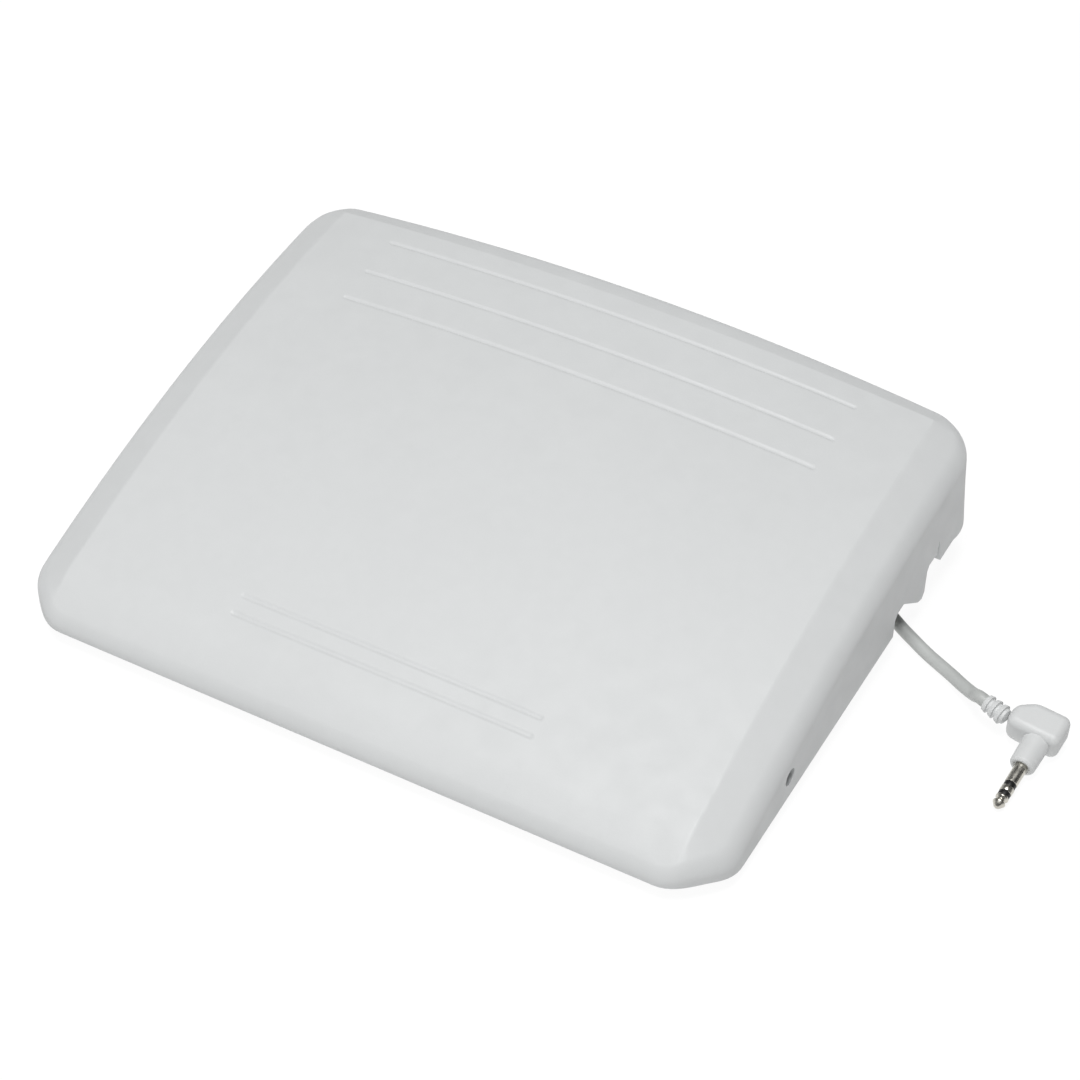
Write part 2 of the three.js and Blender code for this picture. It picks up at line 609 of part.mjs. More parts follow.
function controlBody() {
  const { depth, y, width, z0, z1, slotWidth, slotHeight } = CONTROL;
  const body = solid(block(CONTROL_X, CONTROL_X + depth, y - width / 2, y + width / 2, z0, z1));
  const middle = (z0 + z1) / 2;
  const cavity = block(CONTROL_X + 1, CONTROL_X + depth - 1.2, y - 4.6, y + 4.6,
    middle - 8.6, middle + 8.6);
  const slot = block(CONTROL_X + 2, CONTROL_X + depth + 1, y - slotWidth / 2, y + slotWidth / 2,
    middle - slotHeight / 2, middle + slotHeight / 2);
  return cut(body, [solid(cavity), solid(slot)]);
}

function controlSlider() {
  const { z, thickness, width, reach } = SLIDER;
  const [z0, z1] = [z - thickness / 2, z + thickness / 2];
  const face = CONTROL_X + CONTROL.depth;
  const { y } = CONTROL;
  return join([
    solid(block(face - 1.5 - 3, face - 1.5, y - 4, y + 4, z0 - 1.4, z1 + 1.4)),
    solid(block(face - 2, face + reach, y - width / 2, y + width / 2, z0, z1)),
  ]);
}

function actuatorFork() {
  const { thickness, width, bottom } = FORK;
  const { y } = CONTROL;
  const plate = solid(block(FORK_X, FORK_X + thickness, y - width / 2, y + width / 2, bottom, 41.4));
  const slotHeight = SLIDER.thickness + 1;
  const slot = block(FORK_X - 1, FORK_X + thickness + 1, y - width, y + SLIDER.width / 2 + 1.4,
    SLIDER.z - slotHeight / 2, SLIDER.z + slotHeight / 2);
  const hole = crossBar(FORK_X - 1, FORK_X + thickness + 1, y, FORK_SCREW.z, SCREW.shank + GAP, 12);
  return cut(plate, [solid(slot), solid(hole)]);
}

function forkScrew() {
  return screw(0, 0, 0, FORK_SCREW.length).rotateY(-Math.PI / 2)
    .translate(FORK_X - GAP, CONTROL.y, FORK_SCREW.z);
}

function circuitBoard() {
  const { x, thickness, y0, y1, z0, z1 } = BOARD;
  return block(x, x + thickness, y0, y1, z0, z1);
}

function boardBracket() {
  const back = BOARD.x - GAP;
  const seat = BRACKET_SEAT + GAP;
  const upright = solid(block(back - BRACKET, back, BOARD.y0 + 2, BOARD.y1 - 2, seat, BOARD.z1 - 3));
  const shelf = solid(block(back - 14, back, BOARD.y0 + 2, BOARD.y1 - 2, seat, seat + BRACKET));
  const holes = BRACKET_SCREWS.map(({ x, y }) => solid(
    post(x, y, SCREW.shank + GAP, seat - 1, seat + BRACKET + 1, 12)));
  return cut(upright.add(shelf), holes);
}

function cordClamp() {
  const bottom = CLAMP.seat + GAP;
  const half = CLAMP.spread + 3;
  const bar = solid(block(GLAND.x - half, GLAND.x + half, CLAMP.y - 3, CLAMP.y + 3,
    bottom, bottom + CLAMP.thickness));
  const holes = CLAMP_SCREWS.map(({ x, y }) => solid(
    post(x, y, SCREW.shank + GAP, bottom - 1, bottom + CLAMP.thickness + 1, 12)));
  return cut(bar, holes);
}

// --- The lead ---

const TAIL_END = -30;

function cordTail() {
  const from = new THREE.Vector3(GLAND.x, TAIL_END, GLAND.z);
  const to = new THREE.Vector3(GLAND.x, GLAND.y - BASE_WALL - 3, GLAND.z);
  return tube(new THREE.LineCurve3(from, to), LEAD_RADIUS, 4);
}

// Wire 0 takes the inside of the bends and ends furthest along the board.
function leadWire(index) {
  const shift = index - 1;
  const boardFace = BOARD.x + BOARD.thickness;
  const endY = 30 - shift * 3.4;
  const startX = GLAND.x + shift * 1.25;
  const route = smoothCurve([
    [startX, TAIL_END - GAP, GLAND.z],
    [startX, TAIL_END - 4 - shift, GLAND.z - 0.4],
    [16, TAIL_END - 10 - shift * 1.8, 6],
    [-10 - shift, TAIL_END - 4 - shift * 1.6, 5.4],
    [-34 - shift * 1.3, -8 - shift * 1.3, 5.4],
    [-44.4 - shift * 1.6, 15, 5.4],
    [boardFace + 4.4 - shift * 1.6, endY - 5, 6.4],
    [boardFace + 3, endY, 9.4],
    [boardFace + GAP, endY, 10.6],
  ]);
  return tube(route, 0.6, 24, 6);
}

// The stretch between the gland and the coil, which it meets on the outer, upper turn.
const RING_MEET = 15.5; // distance before the tangent point at which the tube clears the coil

function cordEntry() {
  const from = new THREE.Vector3(GLAND.x, GLAND.y + 15.8, GLAND.z);
  const to = new THREE.Vector3(GLAND.x, COIL.y - RING_MEET, GLAND.z);
  return tube(new THREE.LineCurve3(from, to), LEAD_RADIUS, 2);
}

function cordCoil() {
  const outer = COIL_OUTER_TURN + LEAD_RADIUS;
  const inner = outer - COIL_COLUMNS * LEAD;
  const height = COIL_LAYERS * LEAD;
  const profile = [[inner, 0], [outer, 0], [outer, height], [inner, height], [inner, 0]];
  return turned(profile, 36).rotateX(Math.PI / 2).translate(COIL.x, COIL.y, COIL_BOTTOM);
}

// Chosen by hand: out of the store along the floor of its channel, down to the floor, to the boot.
const LEAD_ROUTE = [
  [...alongLead(RING_MEET), LOWER_LAYER_Z],
  [...alongLead(20), LOWER_LAYER_Z],
  [...alongLead(25), LOWER_LAYER_Z],
  [...alongLead(30), 5],
  [...alongLead(34), 4.4],
  [103, 36.8, 3.4],
  [106.6, 35.3, 2.6],
  [112.6, 32.2, 2.2],
  [117.2, 29.8, 2.4],
  [121.4, 27.3, 3],
  [126.4, 23.7, 4.2],
  [130.6, 20.6, 5.8],
];

const plugFrame = new THREE.Matrix4().makeTranslation(PLUG.x, PLUG.y, PLUG.z)
  .multiply(new THREE.Matrix4().makeRotationZ(PLUG_HEADING))
  .multiply(new THREE.Matrix4().makeRotationY(PLUG_NOSE_DOWN))
  .multiply(new THREE.Matrix4().makeRotationX(PLUG_TIP_DOWN));

// The boot's own frame starts where it leaves the plug's body, and turns with the lead.
const bootFrame = new THREE.Matrix4().makeTranslation(PLUG_BODY.back - 2 * GAP, 0, 0)
  .multiply(new THREE.Matrix4().makeRotationZ(BOOT_BEND));

const behindBoot = (distance) => new THREE.Vector3(-PLUG_BOOT.length - GAP - distance, 0, 0)
  .applyMatrix4(bootFrame).applyMatrix4(plugFrame).toArray();

function cordLead() {
  return tube(smoothCurve([...LEAD_ROUTE, behindBoot(2), behindBoot(0)]), LEAD_RADIUS, 14);
}

// --- The plug: the body lies along X, the contacts point to -Y ---

const alongX = (geometry) => geometry.rotateZ(-Math.PI / 2);
const towardUser = (geometry) => geometry.rotateX(Math.PI);

function plugBoot() {
  const rings = 3;
  const pitch = PLUG_BOOT.length / rings;
  const profile = [[0, 0]];
  for (let i = 0; i < rings; i++) {
    const radius = THREE.MathUtils.lerp(PLUG_BOOT.narrow, PLUG_BOOT.wide, (i + 0.5) / rings);
    profile.push([radius, i * pitch], [radius + 0.2, (i + 0.6) * pitch]);
    profile.push([radius - 0.5, (i + 0.62) * pitch], [radius - 0.5, (i + 0.98) * pitch]);
  }
  profile.push([0, PLUG_BOOT.length]);
  return alongX(turned(profile, 16)).translate(-PLUG_BOOT.length, 0, 0).applyMatrix4(bootFrame);
}

function plugBody() {
  const { back, front, near, far, halfHeight, neck } = PLUG_BODY;
  const bevel = 1.4;
  const start = back + GAP + bevel;
  const end = front - bevel;
  const plan = new THREE.Shape([
    [start, bevel - neck], [start + 3.5, bevel - near], [end, bevel - near],
    [end, far - bevel], [start + 4.5, far - bevel], [start, neck - bevel],
  ].map(([x, y]) => new THREE.Vector2(x, y)));
  const body = new THREE.ExtrudeGeometry(plan, {
    depth: 2 * (halfHeight - bevel), bevelThickness: bevel, bevelSize: bevel, bevelSegments: 3,
  });
  body.translate(0, 0, bevel - halfHeight);
  const hole = PLUG_COLLAR.radius + GAP;
  const socket = block(-hole, hole, -near - 1, -PLUG_COLLAR.start, -hole, hole);
  return cut(solid(body), [solid(socket)]);
}

function plugCollar() {
  const { start, end, radius } = PLUG_COLLAR;
  const profile = [
    [0, start + GAP], [radius, start + GAP], [radius, end - 0.8], [radius - 0.6, end], [0, end],
  ];
  return towardUser(turned(profile, 20));
}

// Each contact and insulator follows the last, a gap apart: name, length, radius, colour.
const JACK_STACK = [
  ['plug_sleeve_contact', 5.5, JACK_RADIUS, 'contact'],
  ['plug_rear_insulator', 0.9, JACK_RADIUS - 0.1, 'insulator'],
  ['plug_ring_contact', 1.6, JACK_RADIUS, 'contact'],
  ['plug_front_insulator', 0.9, JACK_RADIUS - 0.1, 'insulator'],
];
const JACK_LENGTH = 14;

function jackRing(start, length, radius) {
  return towardUser(turned([[0, start], [radius, start], [radius, start + length], [0, start + length]], 16));
}

function jackTip(start) {
  const end = PLUG_COLLAR.end + JACK_LENGTH;
  const profile = [
    [0, start], [JACK_RADIUS, start], [JACK_RADIUS - 0.55, start + 0.9], [JACK_RADIUS, start + 1.6],
    [JACK_RADIUS - 0.2, end - 1.2], [0.6, end], [0, end],
  ];
  return towardUser(turned(profile, 16));
}

// --- The scene graph ---

const FINISHES = {
  shell: { color: 0xdcdedc, roughness: 0.55, metalness: 0 },
  base: { color: 0xd2d4d2, roughness: 0.6, metalness: 0 },
  rubber: { color: 0x3a3a3c, roughness: 0.9, metalness: 0 },
  steel: { color: 0x9a9da0, roughness: 0.35, metalness: 1 },
  contact: { color: 0xb9b6a6, roughness: 0.25, metalness: 1 },
  insulator: { color: 0x161616, roughness: 0.5, metalness: 0 },
  vinyl: { color: 0xd4d5d6, roughness: 0.5, metalness: 0 },
  board: { color: 0x8a6a3a, roughness: 0.6, metalness: 0 },
  control: { color: 0x2c2e33, roughness: 0.5, metalness: 0 },
  red_wire: { color: 0xa8322c, roughness: 0.5, metalness: 0 },
  white_wire: { color: 0xdadada, roughness: 0.5, metalness: 0 },
  black_wire: { color: 0x222222, roughness: 0.5, metalness: 0 },
};

const TO_MIDDLE = -2.3; // puts the origin under the middle, which the sizes above miss by this much
const pedal = new THREE.Group();
pedal.position.y = TO_MIDDLE;

function place(parent, name, shape, finish) {
  const geometry = shape.isBufferGeometry ? shape : geometryOf(shape);
  const mesh = new THREE.Mesh(geometry, new THREE.MeshStandardMaterial(FINISHES[finish]));
  mesh.name = name;
  parent.add(mesh);
}

place(pedal, 'base_housing', baseHousing(), 'base');
for (const { name, x, y } of feetPlaces) {
  place(pedal, name, foot(x, y), 'rubber');
}
for (const [label, side] of [['left', -1], ['right', 1]]) {
  place(pedal, `pivot_pin_${label}`, pivotPin(side), 'steel');
  place(pedal, `return_spring_${label}`, returnSpring(side), 'steel');
  place(pedal, `stop_bumper_${label}`, bumper(side), 'rubber');
}

place(pedal, 'pedal_cover', pedalCover(), 'shell');
place(pedal, 'actuator_fork', actuatorFork(), 'control');
place(pedal, 'fork_screw', forkScrew(), 'steel');

place(pedal, 'circuit_board', circuitBoard(), 'board');
place(pedal, 'speed_control_body', controlBody(), 'control');
place(pedal, 'speed_control_slider', controlSlider(), 'control');
place(pedal, 'board_bracket', boardBracket(), 'steel');
BRACKET_SCREWS.forEach(({ x, y }, i) => {
  const head = BRACKET_SEAT + BRACKET + 2 * GAP;
  place(pedal, `bracket_screw_${['front', 'rear'][i]}`, screw(x, y, head, 5.2), 'steel');
});

place(pedal, 'cord_gland', cordGland(), 'rubber');
place(pedal, 'cord_clamp', cordClamp(), 'base');
CLAMP_SCREWS.forEach(({ x, y }, i) => {
  const head = CLAMP.seat + CLAMP.thickness + 2 * GAP;
  place(pedal, `clamp_screw_${['left', 'right'][i]}`, screw(x, y, head, 6), 'steel');
});
place(pedal, 'cord_tail', cordTail(), 'vinyl');
['red', 'white', 'black'].forEach((colour, i) => {
  place(pedal, `wire_${colour}`, leadWire(i), `${colour}_wire`);
});

place(pedal, 'cord_entry', cordEntry(), 'vinyl');
place(pedal, 'cord_coil', cordCoil(), 'vinyl');
place(pedal, 'cord_lead', cordLead(), 'vinyl');

const plug = new THREE.Group();
plug.applyMatrix4(plugFrame);
pedal.add(plug);
place(plug, 'plug_boot', plugBoot(), 'vinyl');
place(plug, 'plug_body', plugBody(), 'vinyl');
place(plug, 'plug_collar', plugCollar(), 'vinyl');
let reached = PLUG_COLLAR.end + GAP;
for (const [name, length, radius, finish] of JACK_STACK) {
  place(plug, name, jackRing(reached, length, radius), finish);
  reached += length + GAP;
}
place(plug, 'plug_tip_contact', jackTip(reached), 'contact');

export default pedal;
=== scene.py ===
import json
import math

import bmesh
import bpy
from mathutils import Matrix, Vector
from mathutils.geometry import delaunay_2d_cdt


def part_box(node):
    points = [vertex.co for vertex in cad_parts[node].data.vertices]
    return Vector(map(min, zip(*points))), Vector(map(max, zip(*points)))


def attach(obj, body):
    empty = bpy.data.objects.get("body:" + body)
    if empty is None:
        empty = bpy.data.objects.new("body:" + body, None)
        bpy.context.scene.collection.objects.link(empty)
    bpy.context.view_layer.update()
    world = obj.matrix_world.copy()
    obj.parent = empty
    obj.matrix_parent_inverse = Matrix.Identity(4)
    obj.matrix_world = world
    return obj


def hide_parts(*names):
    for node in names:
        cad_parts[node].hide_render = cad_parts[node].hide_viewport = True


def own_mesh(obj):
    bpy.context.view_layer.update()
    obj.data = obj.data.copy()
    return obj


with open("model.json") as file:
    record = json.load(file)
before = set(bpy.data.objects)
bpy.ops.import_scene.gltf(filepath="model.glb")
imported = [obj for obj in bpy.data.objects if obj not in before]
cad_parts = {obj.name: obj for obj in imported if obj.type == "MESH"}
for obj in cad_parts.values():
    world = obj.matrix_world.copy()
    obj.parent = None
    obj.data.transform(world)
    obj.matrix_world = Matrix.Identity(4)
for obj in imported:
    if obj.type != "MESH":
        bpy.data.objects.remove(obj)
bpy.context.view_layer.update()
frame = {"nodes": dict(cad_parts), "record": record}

# Foot control pedal: its looks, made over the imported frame. Metres, +Y to the raised toe end.
# Lengths below are in millimetres in the part's own frame; spot() and PART bring them over.

MM = 0.001
WELD = 1e-6  # metres; points closer together than this become one
TO_MIDDLE = -2.3  # how far the shared frame's Y lies from the part's own
PART = Matrix.Translation((0, TO_MIDDLE * MM, 0)) @ Matrix.Scale(MM, 4)


def spot(x, y, z):
    return PART @ Vector((x, y, z))


def turned_to(axis, degrees):
    return Matrix.Rotation(math.radians(degrees), 4, axis)


def eased(share):
    share = min(max(share, 0), 1)
    return 0.5 - 0.5 * math.cos(math.pi * share)


# --- Camera ---

def add_camera():
    """Looks down on the pedal from in front of its heel, to the right of its middle."""
    azimuth, elevation, roll = (math.radians(angle) for angle in (27.42, 41.49, 2.2))
    back = Vector((math.sin(azimuth) * math.cos(elevation),
                   -math.cos(azimuth) * math.cos(elevation), math.sin(elevation)))
    level = Vector((math.cos(azimuth), math.sin(azimuth), 0))
    upright = back.cross(level)
    right = math.cos(roll) * level + math.sin(roll) * upright
    up = math.cos(roll) * upright - math.sin(roll) * level
    aim, distance, aside, below = Vector((0, -0.0023, 0.020)), 0.8039, 0.0104, 0.0027
    place = aim + distance * back + aside * right - below * up
    data = bpy.data.cameras.new("camera")
    data.lens = 100
    data.sensor_width = 36
    camera = bpy.data.objects.new("camera", data)
    camera.matrix_world = Matrix.Translation(place) @ Matrix((right, up, back)).transposed().to_4x4()
    bpy.context.scene.collection.objects.link(camera)
    bpy.context.scene.camera = camera


add_camera()


# --- Materials ---

def blank(name, **constants):
    made = bpy.data.materials.new(name)
    made.use_nodes = True
    shader = made.node_tree.nodes["Principled BSDF"]
    for socket, value in constants.items():
        shader.inputs[socket.replace("_", " ")].default_value = value
    return made, made.node_tree, shader


def noise(tree, size, detail=3, stretch=(1, 1, 1)):
    """Noise whose features are about size millimetres across, drawn out along the axes by stretch."""
    place = tree.nodes.new("ShaderNodeTexCoord")
    mapping = tree.nodes.new("ShaderNodeMapping")
    mapping.inputs["Scale"].default_value = [1 / (size * MM * share) for share in stretch]
    texture = tree.nodes.new("ShaderNodeTexNoise")
    texture.inputs["Scale"].default_value = 1
    texture.inputs["Detail"].default_value = detail
    tree.links.new(place.outputs["Object"], mapping.inputs["Vector"])
    tree.links.new(mapping.outputs["Vector"], texture.inputs["Vector"])
    return texture.outputs["Fac"]


def ramp(tree, value, low, high, start=0.35, end=0.65):
    """Turns a value into a colour between low and high, or a grey where they are numbers."""
    node = tree.nodes.new("ShaderNodeValToRGB")
    for element, place, colour in zip(node.color_ramp.elements, (start, end), (low, high)):
        element.position = place
        element.color = (*(colour if isinstance(colour, tuple) else [colour] * 3), 1)
    tree.links.new(value, node.inputs["Fac"])
    return node.outputs["Color"]


def blended(tree, share, first, second):
    node = tree.nodes.new("ShaderNodeMix")
    node.data_type = "RGBA"
    for socket, value in (("Factor", share), ("A", first), ("B", second)):
        at = [s for s in node.inputs if s.name == socket and s.enabled][0]
        tree.links.new(value, at)
    return [s for s in node.outputs if s.enabled][0]


def edges(tree, start=0.52, end=0.6):
    """1 along convex outer edges, where the painted highlight goes, and 0 away from them."""
    geometry = tree.nodes.new("ShaderNodeNewGeometry")
    return ramp(tree, geometry.outputs["Pointiness"], 0.0, 1.0, start, end)


def roughen(tree, shader, value, height, strength=0.5):
    node = tree.nodes.new("ShaderNodeBump")
    node.inputs["Strength"].default_value = strength
    node.inputs["Distance"].default_value = height * MM
    tree.links.new(value, node.inputs["Height"])
    tree.links.new(node.outputs["Normal"], shader.inputs["Normal"])


def tone(colour, factor):
    return tuple(min(part * factor, 1.0) for part in colour)


def moulded(name, colour, grain, low, high, spread=0.03, painted_edge_highlight=True):
    """Moulded plastic: cloudy colour, a spark-eroded grain, uneven gloss and a painted highlight that
    makes convex edges paler.
    """
    made, tree, shader = blank(name, Metallic=0.0)
    cloudy = ramp(tree, noise(tree, 45, 2), tone(colour, 1 - spread), tone(colour, 1 + spread))
    speckled = ramp(tree, noise(tree, 4, 4), tone(colour, 1 - spread), tone(colour, 1 + spread))
    fine = noise(tree, grain, 4)
    body = blended(tree, ramp(tree, noise(tree, 12), 0.3, 0.7), cloudy, speckled)
    # Convex edges are made 5 to 10 percent paler: a painted highlight.
    if painted_edge_highlight:
        painted_highlight_colour = ramp(tree, noise(tree, 9), tone(colour, 1.05), tone(colour, 1.1))
        body = blended(tree, edges(tree), body, painted_highlight_colour)
    tree.links.new(body, shader.inputs["Base Color"])
    tree.links.new(ramp(tree, noise(tree, 7, 5), low, high), shader.inputs["Roughness"])
    roughen(tree, shader, fine, 0.05, 0.35)
    return made


def metal(name, colour, low, high, stretch=(1, 1, 1)):
    """Plated metal: drawn scratches, patchy gloss and a slight dulling of the plating."""
    made, tree, shader = blank(name, Metallic=1.0)
    drawn = noise(tree, 0.35, 4, stretch)
    dull = ramp(tree, noise(tree, 3, 4), tone(colour, 0.82), colour)
    tree.links.new(dull, shader.inputs["Base Color"])
    tree.links.new(ramp(tree, drawn, low, high), shader.inputs["Roughness"])
    roughen(tree, shader, drawn, 0.01, 0.3)
    return made


def white_shell():
    return moulded("white_shell", (0.648, 0.660, 0.662), 0.55, 0.46, 0.60, 0.012)


def white_base():
    return moulded("white_base", (0.600, 0.620, 0.610), 0.7, 0.50, 0.66, 0.02, painted_edge_highlight=False)


def black_rubber():
    return moulded("black_rubber", (0.030, 0.030, 0.032), 0.9, 0.74, 0.92, 0.25)


def black_insulator():
    return moulded("black_insulator", (0.010, 0.010, 0.010), 0.5, 0.35, 0.5, 0.2)


def black_control():
    return moulded("black_control", (0.026, 0.027, 0.032), 0.6, 0.42, 0.58, 0.15)


def grey_vinyl():
    return moulded("grey_vinyl", (0.645, 0.655, 0.655), 0.45, 0.46, 0.60, 0.02)


# A darker copy of the grey vinyl for the cord: partly the cord's own darker tone, partly painted
# shade for the pedal's shadow and the missing light from below.
def shaded_lead_vinyl():
    return moulded("shaded_lead_vinyl", (0.450, 0.462, 0.452), 0.45, 0.42, 0.55, 0.04)


def plated_steel():
    return metal("plated_steel", (0.52, 0.53, 0.55), 0.24, 0.42, (4, 1, 1))


def nickel_contact():
    return metal("nickel_contact", (0.66, 0.64, 0.58), 0.26, 0.42, (1, 5, 1))


def brown_board():
    """Paper laminate: long fibres under a resin gloss."""
    made, tree, shader = blank("brown_board", Metallic=0.0, Coat_Weight=0.25)
    fibres = noise(tree, 0.8, 5, (1, 6, 1))
    tree.links.new(ramp(tree, fibres, (0.16, 0.085, 0.03), (0.30, 0.17, 0.065)),
                   shader.inputs["Base Color"])
    tree.links.new(ramp(tree, noise(tree, 3), 0.4, 0.6), shader.inputs["Roughness"])
    roughen(tree, shader, fibres, 0.02)
    return made


def wire_red():
    return moulded("wire_red", (0.42, 0.03, 0.02), 0.4, 0.38, 0.5, 0.08)


def wire_white():
    return moulded("wire_white", (0.66, 0.66, 0.65), 0.4, 0.38, 0.5, 0.03)


def wire_black():
    return moulded("wire_black", (0.016, 0.016, 0.017), 0.4, 0.38, 0.5, 0.15)


FINISHES = {maker.__name__: maker() for maker in (
    white_shell, white_base, black_rubber, black_insulator, black_control, grey_vinyl, shaded_lead_vinyl,
    plated_steel, nickel_contact, brown_board, wire_red, wire_white, wire_black)}


# --- Making and placing pieces ---

NODE_BODY = {node: body for body, members in frame["record"]["behaviour"]["bodies"].items()
             for node in members}


def dress(piece, finish, *nodes):
    """Gives a piece its finish, and lets it stand for these nodes on the body they ride on."""
    piece.data.materials.clear()
    piece.data.materials.append(FINISHES[finish])
    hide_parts(*nodes)
    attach(piece, NODE_BODY[nodes[0]])
    return piece


def linked(name, data):
    piece = bpy.data.objects.new(name, data)
    bpy.context.scene.collection.objects.link(piece)
    return piece


def object_from(name, form):
    """An object from a bmesh, with every face shaded smooth."""
    bmesh.ops.remove_doubles(form, verts=form.verts, dist=WELD)
    bmesh.ops.recalc_face_normals(form, faces=form.faces)
    for face in form.faces:
        face.smooth = True
    mesh = bpy.data.meshes.new(name)
    form.to_mesh(mesh)
    form.free()
    return linked(name, mesh)


def soften(piece, width, steps=3, angle=35):
    """Rounds the sharp edges by width millimetres and keeps the flats flat in shading."""
    bevel = piece.modifiers.new("edges", "BEVEL")
    bevel.width = width * MM
    bevel.segments = steps
    bevel.limit_method = "ANGLE"
    bevel.angle_limit = math.radians(angle)
    bevel.use_clamp_overlap = True
    piece.modifiers.new("normals", "WEIGHTED_NORMAL").keep_sharp = True
    return piece


def add_turned(form, profile, place, steps=64, closed=False):
    """Turns a profile of (radius, height) points about Z, then moves it by place."""
    rings = []
    for radius, height in profile:
        count = steps if radius > 0 else 1
        angles = [2 * math.pi * i / steps for i in range(count)]
        rings.append([form.verts.new(place @ Vector((radius * math.cos(angle),
                                                     radius * math.sin(angle), height)))
                      for angle in angles])
    pairs = list(zip(rings, rings[1:]))
    if closed:
        pairs.append((rings[-1], rings[0]))
    for lower, upper in pairs:
        for i in range(steps):
            j = (i + 1) % steps
            corners = [lower[i % len(lower)], lower[j % len(lower)],
                       upper[j % len(upper)], upper[i % len(upper)]]
            corners = list(dict.fromkeys(corners))
            if len(corners) > 2:
                form.faces.new(corners)


def turned(name, profile, place, closed=False, soft=0.2):
    form = bmesh.new()
    add_turned(form, profile, place, closed=closed)
    return soften(object_from(name, form), soft)


def add_bar(form, x0, x1, y0, y1, z0, z1, place=PART):
    size = Matrix.Diagonal((x1 - x0, y1 - y0, z1 - z0, 1))
    middle = Matrix.Translation(((x0 + x1) / 2, (y0 + y1) / 2, (z0 + z1) / 2))
    bmesh.ops.create_cube(form, size=1, matrix=place @ middle @ size)


def refined(node, finish, soft):
    """A copy of a node with its facets joined into flats and its edges rounded."""
    form = bmesh.new()
    form.from_mesh(frame["nodes"][node].data)
    bmesh.ops.remove_doubles(form, verts=form.verts, dist=WELD)
    bmesh.ops.dissolve_limit(form, angle_limit=math.radians(0.5), verts=form.verts,
                             edges=form.edges)
    piece = soften(object_from(f"{node}_finished", form), soft, steps=2, angle=40)
    return dress(piece, finish, node)


# --- The lead and its coil ---

LEAD_DIAMETER = 3.6 * MM
ENTRY_Y = -11  # where the cord comes in through its gland
LEAD_HEADING = -25  # degrees; the direction in which the lead leaves the coil

UPPER_TURNS = 4  # whole turns wound inward before the one that drops to the lower layer
JOG = 50  # degrees over which the cord moves to the next turn or layer
JOG_IN = 310  # where in a turn the upper layer moves inward
JOG_OUT = 220  # and the lower layer outward
DROP = 260  # where in the fifth turn the cord drops
COIL_TRAVEL = (2 * UPPER_TURNS + 1) * 360 + 90 - LEAD_HEADING  # degrees from entry to exit
COIL_STEP = 14  # degrees between the points of the coil's route


def turns_in(travel):
    """How many turns in from the outer one the cord lies, after travel degrees round the coil."""
    turn, into = divmod(travel, 360)
    if turn < UPPER_TURNS:
        return turn + eased((into - JOG_IN) / JOG)
    if turn == UPPER_TURNS:
        return UPPER_TURNS
    return max(2 * UPPER_TURNS + 1 - turn - eased((into - JOG_OUT) / JOG), 0)


def coil_route(middle, outer, upper, lower):
    """Clockwise seen from above, from the side the cord comes in by to where the lead leaves."""
    points = []
    steps = round(COIL_TRAVEL / COIL_STEP)
    for i in range(steps + 1):
        travel = COIL_TRAVEL * i / steps
        angle = math.radians(180 - travel)
        radius = outer - turns_in(travel) * LEAD_DIAMETER
        dropped = eased((travel - UPPER_TURNS * 360 - DROP) / JOG)
        points.append(Vector((middle.x + radius * math.cos(angle),
                              middle.y + radius * math.sin(angle),
                              upper + (lower - upper) * dropped)))
    return points


def lead_route(leaves):
    """Out along the floor of its channel, down to the floor outside, and up to the boot."""
    heading = math.radians(LEAD_HEADING)
    along = Vector((math.cos(heading), math.sin(heading), 0))
    start = leaves.z / MM
    straight = [(8, start), (15.5, start), (20, start), (25, start), (30, 5), (34, 4.4)]
    points = []
    for distance, height in straight:
        point = leaves + along * distance * MM
        points.append(Vector((point.x, point.y, height * MM)))
    loose = [
        (103, 36.8, 3.4), (106.6, 35.3, 2.6), (112.6, 32.2, 2.2), (117.2, 29.8, 2.4),
        (121.4, 27.3, 3), (126.4, 23.7, 4.2), (130.6, 20.6, 5.8),
    ]
    points += [spot(*point) for point in loose]
    return points + [BOOT @ Vector((-BOOT_LENGTH - behind, 0, 0)) for behind in (2.3, 0.3, -3)]


PLUG = (PART @ Matrix.Translation((151.2, 14.9, 6.8)) @ turned_to("Z", -2.5) @ turned_to("Y", 4)
        @ turned_to("X", 11))
BOOT_LENGTH = 6.6
BOOT = PLUG @ Matrix.Translation((-10.1, 0, 0)) @ turned_to("Z", -14)


def cord():
    low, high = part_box("cord_coil")
    radius = LEAD_DIAMETER / 2
    middle = (low + high) / 2
    outer = (high.x - low.x) / 2 - radius
    upper, lower = high.z - radius, low.z + radius
    start = Vector((middle.x - outer, spot(0, ENTRY_Y, 0).y, upper))
    entry_steps = 5
    entry = [start.lerp(Vector((start.x, middle.y, upper)), i / entry_steps)
             for i in range(entry_steps)]
    coil = coil_route(middle, outer, upper, lower)
    route = entry + coil + lead_route(coil[-1])
    data = bpy.data.curves.new("cord", "CURVE")
    data.dimensions = "3D"
    data.resolution_u = 5
    data.bevel_depth = radius
    data.bevel_resolution = 5
    data.use_fill_caps = True
    line = data.splines.new("BEZIER")
    line.bezier_points.add(len(route) - 1)
    for point, place in zip(line.bezier_points, route):
        point.co = place
        point.handle_left_type = point.handle_right_type = "AUTO"
    # The cord takes the darker vinyl, which carries painted shade.
    piece = dress(linked("cord", data), "shaded_lead_vinyl", "cord_entry", "cord_coil", "cord_lead")
    return piece, start


cord_piece, cord_exit = cord()


# --- The plug: its body lies along the plug's X, its contacts point along -Y ---

TOWARD_X = turned_to("Y", 90)
TOWARD_USER = turned_to("X", 90)


